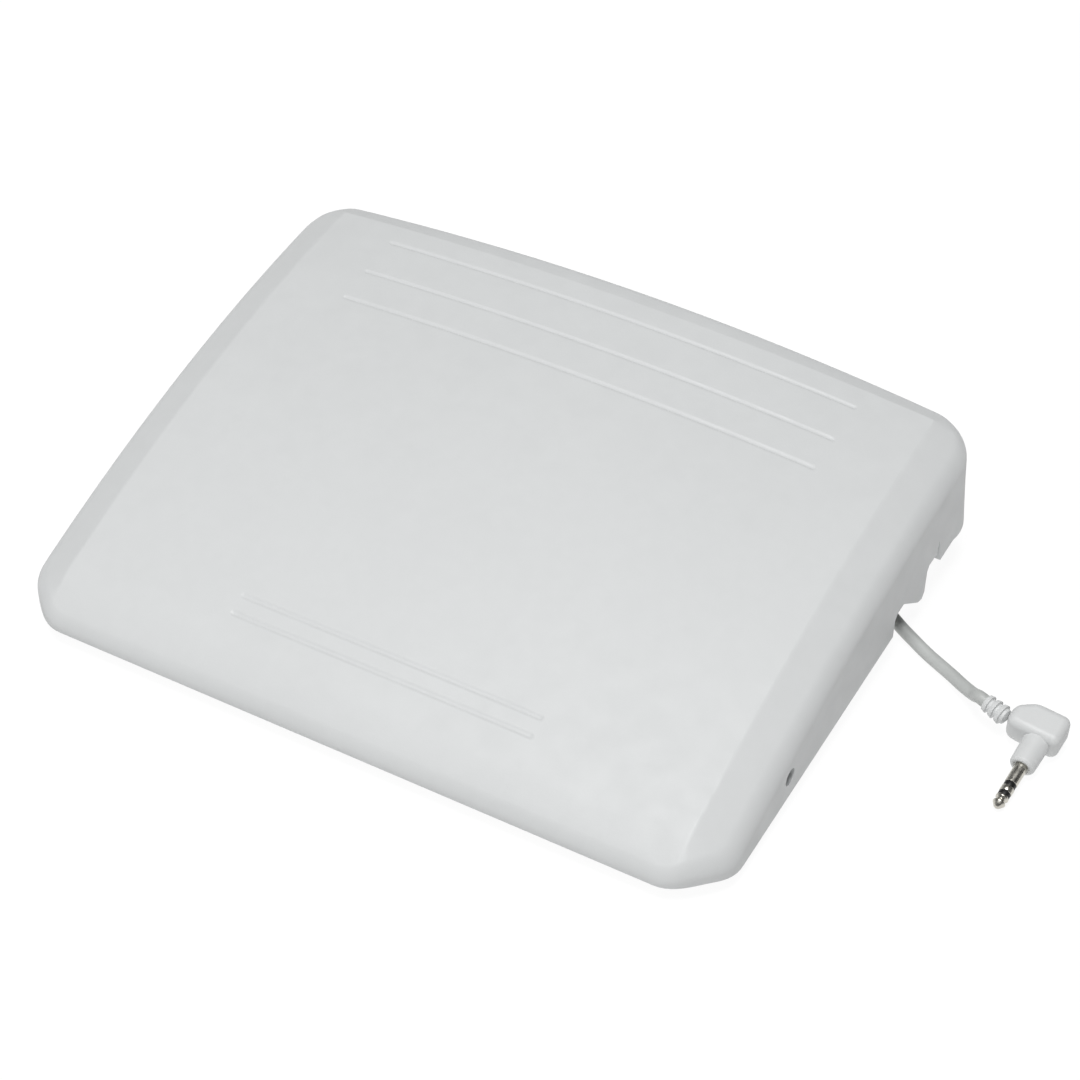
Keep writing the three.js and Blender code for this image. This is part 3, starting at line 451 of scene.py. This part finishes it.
def plug_boot():
    """Rings that stand apart over a slimmer core, so that the boot bends with the lead."""
    rings = 3
    pitch = BOOT_LENGTH / rings
    profile = [(0, 0)]
    for i in range(rings):
        radius = 2.35 + 0.15 * i
        start = i * pitch
        profile += [(radius - 0.1, start), (radius + 0.2, start + 0.55 * pitch),
                    (radius - 0.5, start + 0.62 * pitch), (radius - 0.5, start + 0.97 * pitch)]
    profile.append((0, BOOT_LENGTH + 0.8))
    place = BOOT @ TOWARD_X @ Matrix.Translation((0, 0, -BOOT_LENGTH))
    return dress(turned("boot", profile, place, soft=0.15), "grey_vinyl", "plug_boot")


def plug_body():
    """A block narrowed to the neck that takes the boot, with well-rounded edges."""
    back, front, near, far, half, neck = -9.2, 5.7, -3.4, 6.2, 4.4, 2.9
    plan = [(back, -neck), (back + 3.5, near), (front, near), (front, far),
            (back + 4.9, far), (back, neck)]
    form = bmesh.new()
    layers = [[form.verts.new(PLUG @ Vector((x, y, z))) for x, y in plan] for z in (-half, half)]
    form.faces.new(layers[0][::-1])
    form.faces.new(layers[1])
    for i in range(len(plan)):
        j = (i + 1) % len(plan)
        form.faces.new([layers[0][i], layers[0][j], layers[1][j], layers[1][i]])
    piece = soften(object_from("plug_shell", form), 2.2, steps=8, angle=20)
    return dress(piece, "grey_vinyl", "plug_body")


def on_plug_axis(name, profile, finish, node, soft=0.1):
    return dress(turned(name, profile, PLUG @ TOWARD_USER, soft=soft), finish, node)


def plug_collar():
    """A slightly tapered nose with a shallow cup round the sleeve contact."""
    profile = [(0, 2.9), (3.7, 2.9), (3.6, 5.2), (3.45, 11.1), (2.9, 11.8), (2.2, 11.8),
               (2.1, 11.3), (0, 11.3)]
    return on_plug_axis("collar", profile, "grey_vinyl", "plug_collar", 0.3)


def plug_contacts():
    """Sleeve, ring and tip of a 3.5 mm plug with the black rings between them."""
    radius = 1.75
    made = [on_plug_axis("sleeve", [(0, 11.2), (radius, 11.2), (radius, 17.5), (1.6, 17.6),
                                    (0, 17.6)], "nickel_contact", "plug_sleeve_contact", 0.05)]
    for name, node, start in (("insulator_rear", "plug_rear_insulator", 17.5),
                              ("insulator_front", "plug_front_insulator", 20.6)):
        profile = [(0, start), (radius - 0.12, start), (radius - 0.12, start + 1.5), (0, start + 1.5)]
        made.append(on_plug_axis(name, profile, "black_insulator", node, 0.03))
    made.append(on_plug_axis("ring", [(0, 19), (1.65, 19), (radius, 19.15), (radius, 20.65),
                                      (1.65, 20.8), (0, 20.8)],
                             "nickel_contact", "plug_ring_contact", 0.05))
    tip = [(0, 22.1), (1.65, 22.1), (radius, 22.3), (radius, 22.7), (1.15, 23.3), (1.2, 23.5),
           (1.7, 24.1), (1.72, 24.3), (0.9, 25.5), (0.5, 25.8), (0, 25.8)]
    made.append(on_plug_axis("tip", tip, "nickel_contact", "plug_tip_contact", 0.12))
    return made


plug_pieces = [plug_boot(), plug_body(), plug_collar(), *plug_contacts()]


# --- The cover: one moulded shell, in its own frame from the heel (y = 0) to the toe ---

WIDTH = 208
DEPTH = 161
WALL = 2.4
BAND = 11.5  # width of the band that slopes down from the top to each side
CREASE_X = WIDTH / 2 - BAND
TOE_CREASE = DEPTH - 8  # where the top turns down to the toe

EDGE_START = 3  # height of the top's outer edge at the heel
EDGE_RISE = 27.7  # how much higher that edge is at the toe
EDGE_BOW = 28.4  # four times how far it bows above a straight line, half-way along
CROWN = 6.2  # how far the middle stands over the creases at the toe
CROWN_LOST = 0.3  # share of the crown that is lost where the top is fully raised
BAND_DROP = 2.3  # from a crease to the outer edge, where the top is not raised
RAISED_BY = 3.3  # added to that drop where the top is fully raised
HEEL_RISE = 12  # length over which the top comes up from the heel

HEEL_CORNER = 16  # corner radii, seen from above
TOE_CORNER = 14
HEEL_FLAT = 1.5  # how far the heel's corners are flattened at their middle
HEEL_ROUND = 2.5  # radius of the rounded edge round the top, at the heel
SIDE_ROUND = 4  # and along the sides and the toe
TOE_DRAFT = 0.13  # about how far the toe wall leans out for each millimetre down

OUTLINE_STEP = 3
CORNER_STEPS = 16
GRID_STEP = 4

PIVOT_IN_COVER = (43.3, 7.5)  # y and z
PIVOT = (-37.4, 13)
REST_TILT = 2.8  # degrees by which the cover is turned up about its pivots at rest
PRESSED_TILT = -1  # and with the pedal fully down
COVER = (PART @ Matrix.Translation((0, PIVOT[0], PIVOT[1])) @ turned_to("X", REST_TILT)
         @ Matrix.Translation((0, -PIVOT_IN_COVER[0], -PIVOT_IN_COVER[1])))

GROOVES = [(145.6, 72), (131.9, 72), (120.2, 72), (23.1, 44), (17.9, 44)]  # y, half length
GROOVE_HALF_WIDTH = 0.8
GROOVE_DEPTH = 0.28

HEEL_EDGE = [(-6, 1.8), (7, 1.8), (12, 0.9), (18, 0)]
PLAIN_EDGE = HEEL_EDGE + [(139, 0), (144, 2.2), (170, 2.6)]
NOTCHED_EDGE = HEEL_EDGE + [
    (107.4, 0), (107.6, 5.8), (109, 7.4), (113, 7.4), (115.2, 5.6), (124.2, -1.8), (127, -2.8),
    (128.4, -1.2), (128.6, 5.8), (129.6, 7.4), (134.4, 7.4), (135.6, 11.6), (136.6, 7),
    (138.2, 2.2), (170, 2.6)]


def raised(y):
    """How far the top has come up to its full height: rounded at the heel, creased at the toe."""
    heel = math.sin(math.pi / 2 * min(max(y / HEEL_RISE, 0), 1))
    toe = (DEPTH - y) / (DEPTH - TOE_CREASE)
    return max(min(heel, toe), 0)


def top_height(x, y):
    along = min(max(y / DEPTH, 0), 1)
    side = EDGE_START + EDGE_RISE * along + EDGE_BOW * along * (1 - along)
    across = min(abs(x), CREASE_X) / CREASE_X
    crown = CROWN * math.sin(math.pi / 2 * along) * (1 - CROWN_LOST * raised(y))
    band = max(0, abs(x) - CREASE_X) / BAND
    return side + crown * (1 - across ** 2) + (BAND_DROP + RAISED_BY * raised(y)) * (1 - band)


def groove(x, y):
    """How deep the grooves cut at a point; each is a rounded channel with rounded ends."""
    depth = 0
    for middle, half_length in GROOVES:
        beyond = max(abs(x) - half_length, 0)
        away = math.hypot(y - middle, beyond) / GROOVE_HALF_WIDTH
        if away < 1:
            depth = max(depth, GROOVE_DEPTH * (1 - away ** 2))
    return depth


def lower_edge(x, y):
    """Height of the skirt's lower edge; the right side is notched, as far in as its toe corner."""
    edge = NOTCHED_EDGE if x > WIDTH / 2 - TOE_CORNER else PLAIN_EDGE
    for (y0, z0), (y1, z1) in zip(edge, edge[1:]):
        if y <= y1:
            return z0 + (z1 - z0) * (y - y0) / (y1 - y0)
    return edge[-1][1]


def spaced(start, end, step, also=()):
    """Even places from start up to but without end, and those of also that lie between."""
    count = max(round(abs(end - start) / step), 1)
    places = [start + (end - start) * i / count for i in range(count)]
    low, high = min(start, end), max(start, end)
    places += [place for place in also if low < place < high]
    return sorted(set(places), reverse=end < start)


def cover_outline():
    """Stations round the cover, anticlockwise from above: x, y, outward normal, edge radius."""
    half, heel, toe = WIDTH / 2, HEEL_CORNER, TOE_CORNER
    stations = []

    def corner(cx, cy, radius, start, rounds, flat=0):
        for i in range(CORNER_STEPS):
            share = i / CORNER_STEPS
            angle = math.radians(start + 90 * share)
            reach = radius - flat * math.sin(math.pi * share) ** 2
            stations.append((cx + reach * math.cos(angle), cy + reach * math.sin(angle),
                             math.cos(angle), math.sin(angle),
                             rounds[0] + (rounds[1] - rounds[0]) * share))

    breaks = [y for y, _ in NOTCHED_EDGE]
    stations += [(x, 0, 0, -1, HEEL_ROUND) for x in spaced(heel - half, half - heel, OUTLINE_STEP)]
    corner(half - heel, heel, heel, -90, (HEEL_ROUND, SIDE_ROUND), HEEL_FLAT)
    stations += [(half, y, 1, 0, SIDE_ROUND)
                 for y in spaced(heel, DEPTH - toe, OUTLINE_STEP, breaks)]
    corner(half - toe, DEPTH - toe, toe, 0, (SIDE_ROUND, SIDE_ROUND))
    stations += [(x, DEPTH, 0, 1, SIDE_ROUND) for x in spaced(half - toe, toe - half, OUTLINE_STEP)]
    corner(toe - half, DEPTH - toe, toe, 90, (SIDE_ROUND, SIDE_ROUND))
    stations += [(-half, y, -1, 0, SIDE_ROUND) for y in spaced(DEPTH - toe, heel, OUTLINE_STEP)]
    corner(heel - half, heel, heel, 180, (SIDE_ROUND, HEEL_ROUND), HEEL_FLAT)
    return stations


def wall_point(station, share):
    """A point down the outside wall: share 0 at its top, 1 at the skirt's lower edge."""
    x, y, nx, ny, rounded = station
    top = top_height(x, y) - rounded
    foot = -6  # the height at which the toe's draft is measured
    z = top + (lower_edge(x, y) - top) * share
    flare = TOE_DRAFT * max(ny, 0) * (top_height(x, y) - foot) * (top - z) / (top - foot)
    return (x + nx * flare, y + ny * flare, z)


def edge_point(station, share):
    """A point over the rounded edge: share 0 at the wall, 1 on the top."""
    x, y, nx, ny, rounded = station
    angle = share * math.pi / 2
    back = rounded * (1 - math.cos(angle))
    x, y = x - nx * back, y - ny * back
    return (x, y, top_height(x, y) - rounded * (1 - math.sin(angle)))


def top_grid():
    """Points of the top, closer together over the grooves, their ends and the creases."""
    over_groove = [share * GROOVE_HALF_WIDTH
                   for share in (-1.4, -1, -0.7, -0.35, 0, 0.35, 0.7, 1, 1.4)]
    over_end = (-0.6, 0, 0.35, 0.7, 1.2)
    over_crease = (-0.7, 0, 0.7)
    half_lengths = {half_length for _, half_length in GROOVES}
    folds = [TOE_CREASE + step for step in over_crease]
    grooves = [y + step for y, _ in GROOVES for step in over_groove]
    rows = sorted(set(spaced(0, DEPTH, GRID_STEP) + folds + grooves))
    ends = [side * (length + step) for length in half_lengths for side in (-1, 1)
            for step in over_end]
    creases = [side * (CREASE_X + step) for side in (-1, 1) for step in over_crease]
    columns = sorted(set(spaced(-WIDTH / 2, WIDTH / 2, GRID_STEP) + ends + creases))
    return [(x, y) for x in columns for y in rows if well_inside(x, y)]


def well_inside(x, y):
    """True more than a millimetre inside the line where the rounded edge meets the top."""
    margin, corner, corner_margin = 1.2, 12, 1.4
    half = WIDTH / 2 - SIDE_ROUND - margin
    low, high = HEEL_ROUND + margin, DEPTH - SIDE_ROUND - margin
    dx = abs(x) - (half - corner)
    dy = max(low + corner - y, y - (high - corner))
    if dx > 0 and dy > 0:
        return math.hypot(dx, dy) < corner - corner_margin
    return dx < corner and dy < corner


def outer_skin():
    """The cover's outside: its wall, the rounded edge and the top, as one open surface."""
    form = bmesh.new()
    stations = cover_outline()
    layers = 8  # rings up the wall, and as many over the rounded edge
    wall = [[wall_point(s, 1 - i / layers) for s in stations] for i in range(layers)]
    edge = [[edge_point(s, i / (layers - 1)) for s in stations] for i in range(layers)]
    rings = [[form.verts.new(COVER @ Vector(p)) for p in ring] for ring in wall + edge]
    for lower, upper in zip(rings, rings[1:]):
        for i in range(len(stations)):
            j = (i + 1) % len(stations)
            form.faces.new([lower[i], lower[j], upper[j], upper[i]])
    border = [Vector(p[:2]) for p in edge[-1]]
    inside = [Vector(p) for p in top_grid()]
    only_inside, tolerance = 1, 1e-5
    flat, _, triangles, *_ = delaunay_2d_cdt(border + inside, [], [range(len(border))],
                                             only_inside, tolerance)
    top = [form.verts.new(COVER @ Vector((x, y, top_height(x, y) - groove(x, y)))) for x, y in flat]
    for corners in triangles:
        form.faces.new([top[i] for i in corners])
    bmesh.ops.remove_doubles(form, verts=form.verts, dist=2 * WELD)
    mesh = bpy.data.meshes.new("skin")
    form.to_mesh(mesh)
    form.free()
    return linked("skin", mesh)


def pin_hole(side):
    """What is cut out of a side wall for its pivot pin."""
    start, radius, length = WIDTH / 2 - 4, 2.5, 8
    form = bmesh.new()
    place = PART @ Matrix.Translation((side * start, *PIVOT)) @ turned_to("Y", 90 * side)
    add_turned(form, [(0, 0), (radius, 0), (radius, length), (0, length)], place, steps=48)
    return object_from("pin_hole", form)


def shell_form():
    """The skin given its wall thickness, with the two pin holes cut through it."""
    skin = outer_skin()
    wall = skin.modifiers.new("wall", "SOLIDIFY")
    wall.thickness = WALL * MM
    wall.offset = -1
    tools = [pin_hole(side) for side in (-1, 1)]
    for tool in tools:
        hole = skin.modifiers.new("hole", "BOOLEAN")
        hole.object = tool
        hole.operation = "DIFFERENCE"
        hole.solver = "EXACT"
    done = skin.evaluated_get(bpy.context.evaluated_depsgraph_get())
    form = bmesh.new()
    form.from_mesh(done.to_mesh())
    for spare in [skin, *tools]:
        bpy.data.objects.remove(spare)
    return form


def roof(x, y):
    """Height in the part's frame, inside the cover's wall, above a point of the part's plan."""
    in_cover = y - PIVOT[0] + PIVOT_IN_COVER[0]
    tilt = math.radians(REST_TILT)
    height = top_height(x, in_cover) - WALL / 2
    return PIVOT[1] + (height - PIVOT_IN_COVER[1]) + (y - PIVOT[0]) * math.sin(tilt)


SPRING_X, SPRING_Y = 14, 38  # the right spring's middle; the left one mirrors it
STOP_X, STOP_Y = 80, 64
STOP_GAP = 0.5  # left between a stop post and its bumper with the pedal fully down


def add_spring_cup(form, side):
    """A boss over the spring, with a slim post inside its top turns."""
    x, y = side * SPRING_X, SPRING_Y
    top = roof(x, y)
    profile = [(0, 20.9), (3.1, 20.9), (3.6, 21.5), (3.6, 26.2), (7.5, 26.2), (7.5, top), (0, top)]
    add_turned(form, profile, PART @ Matrix.Translation((x, y, 0)), steps=48)


def add_stop_post(form, side):
    """Two crossed ribs that end just above their bumper when the pedal is fully down."""
    x, y = side * STOP_X, STOP_Y
    thin, wide, below_roof = 1, 5, 0.3
    bumper_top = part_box(f"stop_bumper_{'left' if side < 0 else 'right'}")[1].z / MM
    travel = (y - PIVOT[0]) * (math.sin(math.radians(REST_TILT))
                               - math.sin(math.radians(PRESSED_TILT)))
    foot = bumper_top + STOP_GAP + travel
    add_bar(form, x - thin, x + thin, y - wide, y + wide, foot, roof(x + thin, y) - below_roof)
    add_bar(form, x - wide, x + wide, y - thin, y + thin, foot, roof(x + wide, y) - below_roof)


def add_hook(form, side):
    """A stem with a short foot that points to the toe."""
    x, half_width, low = side * 45, 5, 9.7
    add_bar(form, x - half_width, x + half_width, 67.1, 69.5, low, roof(x, 68))
    add_bar(form, x - half_width, x + half_width, 69, 71.7, low, 12.7)


def add_pivot_pad(form, side):
    """A ring inside the wall, round the pivot pin."""
    x, bore, radius, thickness = side * 99.5, 1.8, 4.4, 2.4
    place = PART @ Matrix.Translation((x, *PIVOT)) @ turned_to("Y", 90 * side)
    profile = [(bore, 0), (radius, 0), (radius, thickness), (bore, thickness)]
    add_turned(form, profile, place, steps=48, closed=True)


def add_fork_lug(form):
    """A lug that hangs down beside the actuator fork."""
    gap, thickness = 0.3, 6
    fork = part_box("actuator_fork")[1].x / MM + gap
    add_bar(form, fork, fork + thickness, 33.5, 42.5, 33, roof(fork, 38))


def pedal_cover():
    form = shell_form()
    for side in (-1, 1):
        for add_fitting in (add_spring_cup, add_stop_post, add_hook, add_pivot_pad):
            add_fitting(form, side)
    add_fork_lug(form)
    piece = soften(object_from("cover", form), 0.3, steps=2, angle=50)
    return dress(piece, "white_shell", "pedal_cover")


# --- Small pieces ---

def place_of(node):
    """The middle of a node's underside."""
    low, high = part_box(node)
    return Vector(((low.x + high.x) / 2, (low.y + high.y) / 2, low.z))


def upright(node):
    return Matrix.Translation(place_of(node)) @ Matrix.Scale(MM, 4)


def foot(node):
    """A rubber pad with a moulded ring groove in its tread."""
    profile = [(0, 0.5), (2.4, 0.5), (2.6, 0), (4.9, 0), (5.9, 0.9), (6, 2.7), (0, 2.7)]
    return dress(turned(f"{node}_pad", profile, upright(node), soft=0.18), "black_rubber", node)


def stop_bumper(node):
    profile = [(0, 0), (5, 0), (5, 4.1), (4.2, 5), (1.4, 5), (1.1, 4.5), (0, 4.5)]
    return dress(turned(f"{node}_pad", profile, upright(node), soft=0.2), "black_rubber", node)


def pivot_pin(side, node):
    """A headed pin with a dimple where it was pressed in."""
    profile = [(0, 0.3), (0.5, 0.25), (0.9, 0), (2.2, 0), (2.2, 0.8), (1.5, 0.8), (1.5, 11),
               (1.1, 11.5), (0, 11.5)]
    outer_face = 102.3
    place = PART @ Matrix.Translation((side * outer_face, *PIVOT)) @ turned_to("Y", -90 * side)
    return dress(turned(f"{node}_turned", profile, place, soft=0.15), "plated_steel", node)


def cord_gland():
    """A grommet held in its wall, with a ribbed sleeve that tapers down to the lead."""
    bore = 1.85
    profile = [(bore, -4.5), (3.8, -4.5), (3.8, -2.5), (3, -2.5), (3, 0.3), (3.8, 0.3),
               (3.8, 1.9), (bore + 1.15, 2.1)]
    ribs, first, pitch = 5, 3, 2.4
    for i in range(ribs):
        start = first + i * pitch
        radius = bore + 1.1 - 0.12 * i
        profile += [(radius, start), (radius, start + 1.2), (radius - 0.35, start + 1.5),
                    (radius - 0.35, start + 2.1)]
    profile += [(bore + 0.5, 15.3), (bore, 15.3)]
    low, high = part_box("cord_gland")
    place = (Matrix.Translation(((low.x + high.x) / 2, spot(0, ENTRY_Y, 0).y, (low.z + high.z) / 2))
             @ Matrix.Scale(MM, 4) @ turned_to("X", -90))
    return dress(turned("gland", profile, place, closed=True, soft=0.12), "black_rubber",
                 "cord_gland")


def return_spring(side, node):
    """Round wire: two closed end turns with seven turns in all, built at one fixed length though the
    real spring is squashed as the pedal goes down.
    """
    radius, wire, turns, low, high = 5.4, 1.2, 7, 8.3, 25.9
    steps_per_turn, sides = 32, 12
    steps = turns * steps_per_turn
    x, y = side * SPRING_X, SPRING_Y
    form = bmesh.new()
    rings = []
    for i in range(steps + 1):
        share = i / steps
        angle = share * turns * 2 * math.pi
        rise = min(max((share - 1 / turns) / (1 - 2 / turns), 0), 1)
        lifted = wire / 2 * (min(share * turns, 1) + max((share - 1) * turns + 1, 0))
        height = low + wire / 2 + lifted + rise * (high - low - 2 * wire)
        out = Vector((math.cos(angle), math.sin(angle), 0))
        centre = Vector((x, y, height)) + radius * out
        ring = []
        for k in range(sides):
            turn = 2 * math.pi * k / sides
            away = math.cos(turn) * out + math.sin(turn) * Vector((0, 0, 1))
            ring.append(form.verts.new(PART @ (centre + wire / 2 * away)))
        rings.append(ring)
    for first, second in zip(rings, rings[1:]):
        for k in range(sides):
            m = (k + 1) % sides
            form.faces.new([first[k], first[m], second[m], second[k]])
    form.faces.new(rings[0])
    form.faces.new(rings[-1][::-1])
    piece = dress(object_from(f"{node}_wound", form), "plated_steel", node)
    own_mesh(piece)
    return piece


pedal_cover()
for heel_or_toe in ("heel", "toe"):
    for left_or_right in ("left", "right"):
        foot(f"foot_{heel_or_toe}_{left_or_right}")
for left_or_right, side in (("left", -1), ("right", 1)):
    stop_bumper(f"stop_bumper_{left_or_right}")
    pivot_pin(side, f"pivot_pin_{left_or_right}")
    return_spring(side, f"return_spring_{left_or_right}")
cord_gland()

refined("base_housing", "white_base", 0.35)
refined("cord_clamp", "white_base", 0.3)
for node in ("actuator_fork", "speed_control_body", "speed_control_slider"):
    refined(node, "black_control", 0.2)
for node in ("board_bracket", "fork_screw", "bracket_screw_front", "bracket_screw_rear",
             "clamp_screw_left", "clamp_screw_right"):
    refined(node, "plated_steel", 0.15)
refined("circuit_board", "brown_board", 0.1)
refined("cord_tail", "grey_vinyl", 0.05)
for colour in ("red", "white", "black"):
    refined(f"wire_{colour}", f"wire_{colour}", 0.03)


# --- Floor, light and colour ---

def add_floor():
    """A floor lit from below, like a light table, so that the pedal casts almost no shadow."""
    form = bmesh.new()
    bmesh.ops.create_grid(form, x_segments=1, y_segments=1, size=40)
    floor = object_from("floor", form)
    made, _, _ = blank("pale_floor", Base_Color=(0.1, 0.1, 0.1, 1), Roughness=0.9,
                       Specular_IOR_Level=0.0, Emission_Color=(1, 1, 1, 1),
                       Emission_Strength=0.93)
    floor.data.materials.append(made)


def add_light(name, place, size, power):
    """A disk light, size metres across, that points at the middle of the floor."""
    data = bpy.data.lights.new(name, "AREA")
    data.shape = "DISK"
    data.size = size
    data.energy = power
    light = bpy.data.objects.new(name, data)
    light.location = place
    direction = -Vector(place)
    light.rotation_euler = direction.to_track_quat("-Z", "Y").to_euler()
    bpy.context.scene.collection.objects.link(light)


def add_world(strength):
    world = bpy.data.worlds.new("studio")
    world.use_nodes = True
    sky = world.node_tree.nodes["Background"]
    sky.inputs["Color"].default_value = (0.98, 0.99, 1, 1)
    sky.inputs["Strength"].default_value = strength
    bpy.context.scene.world = world


add_floor()
add_light("overhead", (0.1, -0.7, 3.94), size=1.8, power=126)
add_light("heel", (0, -2.1, 3.4), size=1.8, power=38)
add_world(0.05)
bpy.context.scene.view_settings.view_transform = "Standard"
